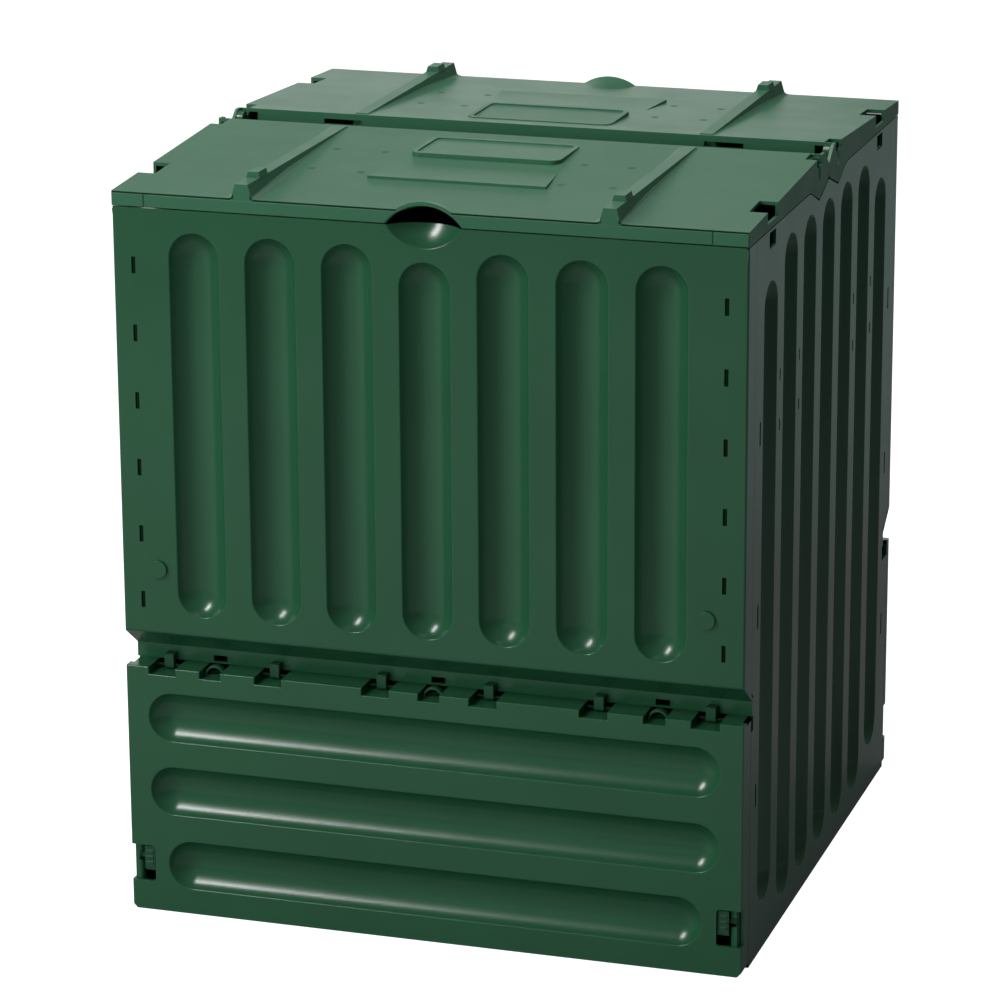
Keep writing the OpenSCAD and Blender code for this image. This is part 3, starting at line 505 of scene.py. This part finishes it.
def place(bm, turned, face=-planHalf):
    # From a sheet's own frame, with its face at y = 0, to the front or the rear of the bin
    bmesh.ops.translate(bm, vec=(0, face * mm, 0), verts=bm.verts)
    turnAround(bm, turned)
    bmesh.ops.recalc_face_normals(bm, faces=bm.faces)


panel = {
    "foot": 328, "top": 803, "soffit": 303, "recess": 35, "bandFoot": 286.4,
    "leftReturn": 13, "rightReturn": 31,
    "fluteFoot": 377.5, "fluteTop": 750.5, "middleTop": 736.5, "pitch": 86,
    "bowlZ": 826.88, "bowl": {"half": 47.9, "deep": 25, "arcSteps": 16}, "bowlSteps": 72, "bowlFrom": 760,
    "hookX": 327, "hookZ": 365, "hookPitch": 75, "hooks": 6, "hookW": 4.5, "hookH": 18.6,
    "clipX": (-252, 0, 252), "clipW": 16, "clipH": 7, "clipZ": 292, "slotCorner": 0.6,
    "corner": 2.6, "thick": 4,
}


def addBowl(bm):
    # The grip's bowl, cut off at the panel's top. Gives the ends of its rim back
    p = panel
    bowlZ, top = p["bowlZ"] * mm, p["top"] * mm
    verts, edges = polyline(bm, [(r, d, bowlZ) for r, d in hollowProfile(**p["bowl"])])
    bmesh.ops.spin(bm, geom=verts + edges, cent=(0, 0, bowlZ), axis=(0, 1, 0), angle=math.pi,
                   steps=p["bowlSteps"], use_merge=False, use_duplicate=False)
    verts = [v for v in bm.verts if v.co.z > p["bowlFrom"] * mm]
    faces = list(dict.fromkeys(face for v in verts for face in v.link_faces
                               if all(w.co.z > p["bowlFrom"] * mm for w in face.verts)))
    edges = list(dict.fromkeys(e for face in faces for e in face.edges))
    bmesh.ops.bisect_plane(bm, geom=verts + edges + faces, plane_co=(0, 0, top), plane_no=(0, 0, 1),
                           clear_outer=True)
    weldDoubles(bm)
    rim = sorted((v for v in bm.verts if same(v.co.z, top) and same(v.co.y, 0)), key=lambda v: v.co.x)
    return rim[0], rim[-1]


def makePanel(name, node, turned):
    p = panel
    bm = bmesh.new()
    for i in range(-3, 4):
        x = i * p["pitch"]
        addFlute(bm, (x, p["fluteFoot"]), (x, p["fluteTop"] if i else p["middleTop"]))
    rimStart, rimEnd = addBowl(bm)
    # Outline of the face
    h, foot, top = planHalf * mm, p["foot"] * mm, p["top"] * mm
    corners = [bm.verts.new(c) for c in ((-h, 0, top), (-h, 0, foot), (h, 0, foot), (h, 0, top))]
    path = [rimStart, *corners, rimEnd]
    for pair in zip(path, path[1:]):
        bm.edges.new(pair)
    for sign in (-1, 1):
        for i in range(p["hooks"]):
            slotLoop(bm, sign * p["hookX"], p["hookZ"] + i * p["hookPitch"], p["hookW"], p["hookH"],
                     r=p["slotCorner"])
    fillFace(bm)
    # Returns, slanted soffit and recessed band
    slope = (p["foot"] - p["soffit"]) / p["recess"]
    for sign, reach in ((-1, p["leftReturn"]), (1, p["rightReturn"])):
        edges = openEdges(bm, lambda c: same(c.x, sign * h) and same(c.y, 0))
        verts, _ = drawEdges(bm, edges, (0, reach, 0))
        min(verts, key=lambda v: v.co.z).co.z -= reach * slope * mm
    edges = openEdges(bm, lambda c: same(c.z, foot) and same(c.y, 0))
    for step in (p["leftReturn"], p["rightReturn"] - p["leftReturn"], p["recess"] - p["rightReturn"]):
        _, edges = drawEdges(bm, edges, (0, step, -step * slope))
    bandY, soffit = p["recess"] * mm, p["soffit"] * mm
    low = [bm.verts.new((x, bandY, p["bandFoot"] * mm)) for x in (-h, h)]
    ends = sorted((v for v in bm.verts if same(v.co.y, bandY) and same(v.co.z, soffit)), key=lambda v: v.co.x)
    for pair in ((ends[0], low[0]), (low[0], low[1]), (low[1], ends[-1])):
        bm.edges.new(pair)
    for x in p["clipX"]:
        slotLoop(bm, x, p["clipZ"], p["clipW"], p["clipH"], r=p["slotCorner"], y=p["recess"])
    fillFace(bm, bandY)
    weldDoubles(bm)
    outwards(bm)
    roundFront(bm, p["corner"])
    bmesh.ops.translate(bm, vec=(0, -planHalf * mm, 0), verts=bm.verts)
    turnAround(bm, turned)
    finishMesh(bm, name, panelGreen, "bin", (node,), thick=p["thick"])


makePanel("frontPanel", "front_panel", False)
makePanel("rearPanel", "rear_panel", True)
print("upper panels ready")


hinge = {
    "tabX": (-308, -184.5, -61, 61, 184.5, 308), "clipX": (-252, 0, 252),
    "axisY": 25.7, "axisZ": 282.8, "tabRadius": 3.7, "tabWidth": 11, "tabTop": 296,
    "bandY": 36, "bandFoot": 289, "floor": 278.5,
    "clipRadius": 11.8, "clipThick": 2.5, "clipDeep": 8, "clipY": 16, "clipZ": 278, "clipSteps": 14,
}


def makeTabs(name, turned):
    h = hinge
    bm = bmesh.new()
    y, z, r = h["axisY"], h["axisZ"], h["tabRadius"]
    outline = arc(y, z, r, 180, 360, 20)
    outline += [(y + r, h["bandFoot"]), (h["bandY"], h["bandFoot"]),
                (h["bandY"], h["tabTop"]), (y - r, h["tabTop"])]
    for x in h["tabX"]:
        addBar(bm, outline, x - h["tabWidth"] / 2, x + h["tabWidth"] / 2)
    place(bm, turned)
    finishMesh(bm, name, fittingGreen, "bin", edge=0.5)


flap = {
    "foot": 1, "top": 287, "cut": 5, "tabNotch": 15.5, "clipNotch": 12,
    "shelf": 34, "shelfHalf": 345.3, "shelfFrom": 2, "rail": 275,
    "wrap": 11, "leftReturn": 12.5, "rightReturn": 30.5,
    "fluteZ": (58, 144, 230), "fluteHalf": (277.5, 296.5, 296.5), "front": 2.4, "thick": 4,
    "windowX": 322, "windowLow": 35, "windowHigh": 77, "windowCorner": 4,
    "guide": ((309, 2, 33), (314, 11, 79)), "strap": ((313, 8, 51), (332.5, 11, 59)),
}


def addFlapFace(bm):
    # The outline starts with its right half below the top, with the cut corner and the lock's window
    p = flap
    h, foot, top, floor = planHalf, p["foot"], p["top"], hinge["floor"]
    low, high, deep, corner = (p["window" + part] for part in ("Low", "High", "X", "Corner"))
    window = roundedPath([(h, low), (deep, low), (deep, high), (h, high)], (0, corner, corner, 0))
    side = [Vector((h - p["cut"], foot)), Vector((h, foot + p["cut"]))] + window
    notches = [(x, p["tabNotch"]) for x in hinge["tabX"]] + [(x, p["clipNotch"]) for x in hinge["clipX"]]
    edge = []
    for x, half in sorted(notches, reverse=True):
        edge += [(x + half, top), (x + half, floor), (x - half, floor), (x - half, top)]
    flatLoop(bm, [*side, (h, top), *edge, (-h, top), *[(-x, z) for x, z in reversed(side)]])
    fillFace(bm)


def addShelf(bm):
    # Shelf behind the top edge, and a rail down from it
    p = flap
    top, floor = p["top"] * mm, hinge["floor"] * mm
    edges = openEdges(bm, lambda c: c.z > floor - 0.1 * mm and same(c.y, 0))
    edges = [e for e in edges if not all(same(abs(v.co.x), planHalf * mm) for v in e.verts)]
    _, rear = drawEdges(bm, edges, (0, p["shelf"], 0))
    level = [e for e in rear if same(e.verts[0].co.z, e.verts[1].co.z)]
    # The rail goes down in two steps, so that its edges meet those of the notches
    upper = [e for e in level if e.verts[0].co.z > top - 0.1 * mm]
    verts, fresh = drawEdges(bm, upper, (0, 0, 0))
    for v in verts:
        v.co.z = floor
    for v in drawEdges(bm, fresh + [e for e in level if e not in upper], (0, 0, 0))[0]:
        v.co.z = p["rail"] * mm


def addFlapSides(bm):
    # The sides are whole behind the lock's windows
    p = flap
    for sign, reach in ((-1, p["leftReturn"]), (1, p["rightReturn"])):
        edges = openEdges(bm, lambda c: same(c.x, sign * planHalf * mm) and same(c.y, 0))
        verts, edges = drawEdges(bm, edges, (0, p["wrap"], 0))
        ends = [v for v in verts if any(same(v.co.z, p[key] * mm) for key in ("windowLow", "windowHigh"))]
        edges.append(bm.edges.new(ends))
        drawEdges(bm, edges, (0, reach - p["wrap"], 0))
    weldDoubles(bm)


def cutShelfEnds(bm):
    # The shelf's ends keep clear of the side walls
    p = flap
    for sign, reach in ((-1, p["leftReturn"]), (1, p["rightReturn"])):
        end = sign * p["shelfHalf"] * mm
        for spot, normal in (((end, 0, 0), (1, 0, 0)), ((0, reach * mm, 0), (0, 1, 0))):
            behind = [f for f in bm.faces if f.calc_center_median().y > p["shelfFrom"] * mm
                      and f.calc_center_median().z > p["rail"] * mm]
            parts = dict.fromkeys(item for f in behind for item in [f, *f.edges, *f.verts])
            bmesh.ops.bisect_plane(bm, geom=list(parts), plane_co=spot, plane_no=normal)
        spare = [f for f in bm.faces if f.calc_center_median().x * sign > p["shelfHalf"] * mm
                 and f.calc_center_median().y > reach * mm]
        bmesh.ops.delete(bm, geom=spare, context="FACES")


def addArchedClip(bm, x):
    h = hinge
    inner, outer, z = h["clipRadius"] - h["clipThick"], h["clipRadius"], h["clipZ"]
    section = ((inner, 0), (outer, 0), (outer, h["clipDeep"]), (inner, h["clipDeep"]))
    verts = [bm.verts.new(Vector((x + r, h["clipY"] + y, z)) * mm) for r, y in section]
    bmesh.ops.spin(bm, geom=[bm.faces.new(verts)], cent=Vector((x, 0, z)) * mm, axis=(0, -1, 0),
                   angle=math.pi, steps=h["clipSteps"], use_merge=False, use_duplicate=False)


def makeFlap(name, node, turned):
    p = flap
    bm = bmesh.new()
    for z, half in zip(p["fluteZ"], p["fluteHalf"]):
        addFlute(bm, (-half, z), (half, z))
    addFlapFace(bm)
    addShelf(bm)
    addFlapSides(bm)
    cutShelfEnds(bm)
    outwards(bm)
    roundFront(bm, p["front"])
    bmesh.ops.translate(bm, vec=(0, -planHalf * mm, 0), verts=bm.verts)
    turnAround(bm, turned)
    finishMesh(bm, name, panelGreen, node, (node,), thick=p["thick"])
    bm = bmesh.new()
    for x in hinge["clipX"]:
        addArchedClip(bm, x)
    place(bm, turned)
    finishMesh(bm, name + "Clips", fittingGreen, node, edge=0.4)
    # Guides and straps of the locks
    bm = bmesh.new()
    for low, high in (p["guide"], p["strap"]):
        addBlock(bm, low, high)
        addBlock(bm, (-high[0], *low[1:]), (-low[0], *high[1:]))
    place(bm, turned)
    finishMesh(bm, name + "Guides", panelGreen, node, edge=0.5)


for end, turned in (("front", False), ("rear", True)):
    makeTabs(end + "Tabs", turned)
    makeFlap(end + "Flap", end + "_flap", turned)
print("flaps ready")


sideWall = {
    "low": -318.5, "high": 336.5, "top": 803, "shoulder": 86, "dip": 786, "tip": 44, "peak": 801.5,
    "radii": (0, 50, 3, 10, 3, 50, 0), "thick": 4,
    "swingX": 310.5, "swingLow": 269.4, "swingHigh": 307.5, "swingSlope": 0.769,
    "fluteX": -255, "pitch": 86, "flutes": 7,
    "foot": 57.5, "outerFoot": 83.5, "fluteTop": 750.5, "outerTop": 718.5,
    "upperSlot": (252, 791.5, 27, 17), "upperCorner": 1.5,
    "snapX": (-295.5, 313.5), "snapZ": (190, 391, 592), "snap": (5, 26),
    "ventAt": (0.5, 1.5, 4.5, 5.5), "ventZ": (580, 635), "vent": (4, 13),
    "keepFrom": 300, "hookFrom": 345.7, "hookTo": 349.5, "inner": 345.98,
    "earX": (338.5, 346.2), "earFoot": 781, "studY": 22, "studZ": 824, "earR": 9,
}


def makePosts(name, node, turned):
    # Posts, flanges and hooks behind the seams, from the solid, with the hooks painted near black as shade
    p = sideWall
    bm = cadCopy(node)
    turnAround(bm, turned)
    bmesh.ops.bisect_plane(bm, geom=bm.verts[:] + bm.edges[:] + bm.faces[:], plane_co=(p["inner"] * mm, 0, 0),
                           plane_no=(1, 0, 0), clear_outer=True)
    middle = [v for v in bm.verts if abs(v.co.y) < p["keepFrom"] * mm]
    bmesh.ops.delete(bm, geom=middle, context="VERTS")
    bmesh.ops.holes_fill(bm, edges=[e for e in bm.edges if e.is_boundary])
    bmesh.ops.recalc_face_normals(bm, faces=bm.faces)
    # Faces of the hooks get the second, near-black material: painted shade in the slots
    for face in bm.faces:
        face.material_index = int(p["hookFrom"] * mm < abs(face.calc_center_median().y) < p["hookTo"] * mm)
    turnAround(bm, turned)
    posts = finishMesh(bm, name, panelGreen, "bin", edge=0)
    posts.data.materials.append(paintedShadeGreen)


def makeEars(name, turned):
    # Ears that hold the lids' studs
    p = sideWall
    bm = bmesh.new()
    y, z, r = p["studY"], p["studZ"], p["earR"]
    outline = [(-y - r, p["earFoot"]), (y + r, p["earFoot"]), *arc(y, z, r, 0, 180, 20),
               (y - r, p["dip"]), (r - y, p["dip"]), *arc(-y, z, r, 0, 180, 20)]
    addBar(bm, outline, *p["earX"])
    place(bm, turned, face=0)
    finishMesh(bm, name, panelGreen, "bin", edge=0.5)


def makeWall(name, node, turned):
    p = sideWall
    bm = bmesh.new()
    for i in range(p["flutes"]):
        foot, top = ("outerFoot", "outerTop") if i in (0, p["flutes"] - 1) else ("foot", "fluteTop")
        x = p["fluteX"] + i * p["pitch"]
        addFlute(bm, (x, p[foot]), (x, p[top]))
    ridge = [(p["high"], p["top"]), (p["shoulder"], p["top"]), (p["tip"], p["dip"]),
             (0, p["peak"]), (-p["tip"], p["dip"]), (-p["shoulder"], p["top"]), (p["low"], p["top"])]
    # Room at both ends for the tops of the swinging flaps
    ends = []
    for x in (p["high"], p["low"]):
        deep = math.copysign(p["swingX"], x)
        ends.append([(x, 0), (x, p["swingLow"]), (deep, p["swingLow"]), (deep, p["swingHigh"]),
                     (x, p["swingHigh"] + abs(x - deep) * p["swingSlope"])])
    flatLoop(bm, roundedPath(ridge, p["radii"]) + ends[1][::-1] + ends[0])
    x, z, w, h = p["upperSlot"]
    for sign in (-1, 1):
        slotLoop(bm, sign * x, z, w, h, r=p["upperCorner"])
    for x in p["snapX"]:
        for z in p["snapZ"]:
            slotLoop(bm, x, z, *p["snap"])
    for i in p["ventAt"]:
        for z in p["ventZ"]:
            slotLoop(bm, p["fluteX"] + i * p["pitch"], z, *p["vent"])
    fillFace(bm)
    weldDoubles(bm)
    outwards(bm)
    bmesh.ops.translate(bm, vec=(0, -planHalf * mm, 0), verts=bm.verts)
    bmesh.ops.transform(bm, matrix=quarterTurn, verts=bm.verts)
    turnAround(bm, turned)
    finishMesh(bm, name, panelGreen, "bin", (node,), thick=p["thick"])
    makePosts(name + "Posts", node, turned)
    makeEars(name + "Ears", turned)


makeWall("rightWall", "right_wall", False)
makeWall("leftWall", "left_wall", True)
print("side walls ready")


lid = {
    "eave": 820, "slope": 15 / 320, "foot": 804.4, "beadTop": 817.9, "proud": 1, "facingBack": 0.4,
    "grooveShadeFoot": 818, "grooveShadeTop": 819.6, "grooveShadeProud": 0.12, "grooveShadeBack": 0.8,
    "archZ": 770.94, "archR": 54.6, "archNose": 30, "archSteps": 4,
    "beadEnd": 311, "cornerFrom": 313.5, "cornerTo": 349.3,
    "ribX": 202, "ribHalf": 12.5, "ribEnd": -37,
    "fillet": ((9.4, 5.4), (10.9, 2.5), (13.4, 0.7), (17, 0.05), (17, -0.6), (9.4, -0.6)),
    "narrow": 7.6, "narrowFrom": -200, "narrowWide": 0.35, "narrowHigh": 0.1,
    "markR": 4.6, "markSlant": 0.4, "markHigh": 0.3, "markSides": 28,
    "marks": ((-172, -213.9), (-172.7, -131.3), (-116.5, -131.2), (-114.8, -217.4),
              (111.6, -133.7), (164.3, -134), (167.1, -217.3), (110.1, -218.4)),
}


def lidHeight(y):
    # Height of the lid's slope, in mm
    return lid["eave"] + (y + planHalf) * lid["slope"]


def makeSkirt(name, node, turned):
    # Facing of the front skirt, with a gap near each end, and over it a near-black strip, the painted shade
    # of a groove
    p = lid
    facing, grooveShade = bmesh.new(), bmesh.new()
    front, back = -planHalf - p["proud"], -planHalf + p["facingBack"]
    foot, top, steps = p["foot"], p["beadTop"], p["archSteps"]
    heights = [foot + (top - foot) * i / steps for i in range(steps + 1)]
    runs = (p["archNose"], p["ribX"] - p["ribHalf"]), (p["ribX"] + p["ribHalf"], p["cornerTo"])
    for sign in (-1, 1):
        arch = [(sign * math.sqrt(p["archR"] ** 2 - (z - p["archZ"]) ** 2), z) for z in heights]
        end = sign * p["beadEnd"]
        addBar(facing, [(end, top), (end, foot), *arch], front, back, axes="xz")
        low, high = sorted((sign * p["cornerFrom"], sign * p["cornerTo"]))
        addBlock(facing, (low, front, foot), (high, back, top))
        for first, last in runs:
            low, high = sorted((sign * first, sign * last))
            addBlock(grooveShade, (low, -planHalf - p["grooveShadeProud"], p["grooveShadeFoot"]),
                     (high, -planHalf + p["grooveShadeBack"], p["grooveShadeTop"]))
    place(facing, turned, face=0)
    place(grooveShade, turned, face=0)
    finishMesh(facing, name + "Facing", lidGreen, node, edge=0.6)
    finishMesh(grooveShade, name + "GrooveShade", paintedShadeGreen, node, edge=0)


def makeFillets(name, node, turned):
    # Fillets along the feet of the ribs, which shrink with the ribs towards the ridge
    p = lid
    bm = bmesh.new()
    for x in (-p["ribX"], p["ribX"]):
        for sign in (-1, 1):
            before = set(bm.verts)
            addBar(bm, [(sign * a, b) for a, b in p["fillet"]], -planHalf, p["ribEnd"], axes="xz")
            narrow = sign * p["narrow"] * mm
            for v in [v for v in bm.verts if v not in before]:
                if v.co.y > p["narrowFrom"] * mm:
                    v.co.z *= p["narrowHigh"]
                    v.co.x = narrow + (v.co.x - narrow) * p["narrowWide"]
                v.co.x += x * mm
                v.co.z += lidHeight(v.co.y / mm) * mm
    place(bm, turned, face=0)
    finishMesh(bm, name, lidGreen, node, edge=0)


def makeMarks(name, node, turned):
    # Round marks that the mould's ejectors leave
    p = lid
    bm = bmesh.new()
    for x, y in p["marks"]:
        made = bmesh.ops.create_cone(bm, cap_ends=True, segments=p["markSides"],
                                     radius1=p["markR"] * mm, radius2=(p["markR"] - p["markSlant"]) * mm,
                                     depth=2 * p["markHigh"] * mm)["verts"]
        bmesh.ops.rotate(bm, verts=made, matrix=Matrix.Rotation(math.atan(p["slope"]), 3, "X"))
        bmesh.ops.translate(bm, vec=Vector((x, y, lidHeight(y))) * mm, verts=made)
    place(bm, turned, face=0)
    finishMesh(bm, name, markGreen, node, edge=0)


def makeLid(name, node, turned):
    finishMesh(cadCopy(node), name, lidGreen, node, (node,), edge=0.9)
    makeSkirt(name, node, turned)
    makeFillets(name + "Fillets", node, turned)
    makeMarks(name + "Marks", node, turned)


for end, turned in (("front", False), ("rear", True)):
    makeLid(end + "Lid", end + "_lid", turned)
print("lids ready")

for node in nodes:
    if "plug" in node:
        finishMesh(cadCopy(node), node + "Skin", panelGreen, "bin", (node,), edge=0.6)
    elif "latch" in node:
        finishMesh(cadCopy(node), node + "Skin", fittingGreen, node, (node,), edge=0.4)
# The pins are painted near black as shade; the other solids keep the panels' green
for node, piece in nodes.items():
    piece.data.materials.clear()
    piece.data.materials.append(paintedShadeGreen if "pin" in node else panelGreen)
print("locks and plugs ready")
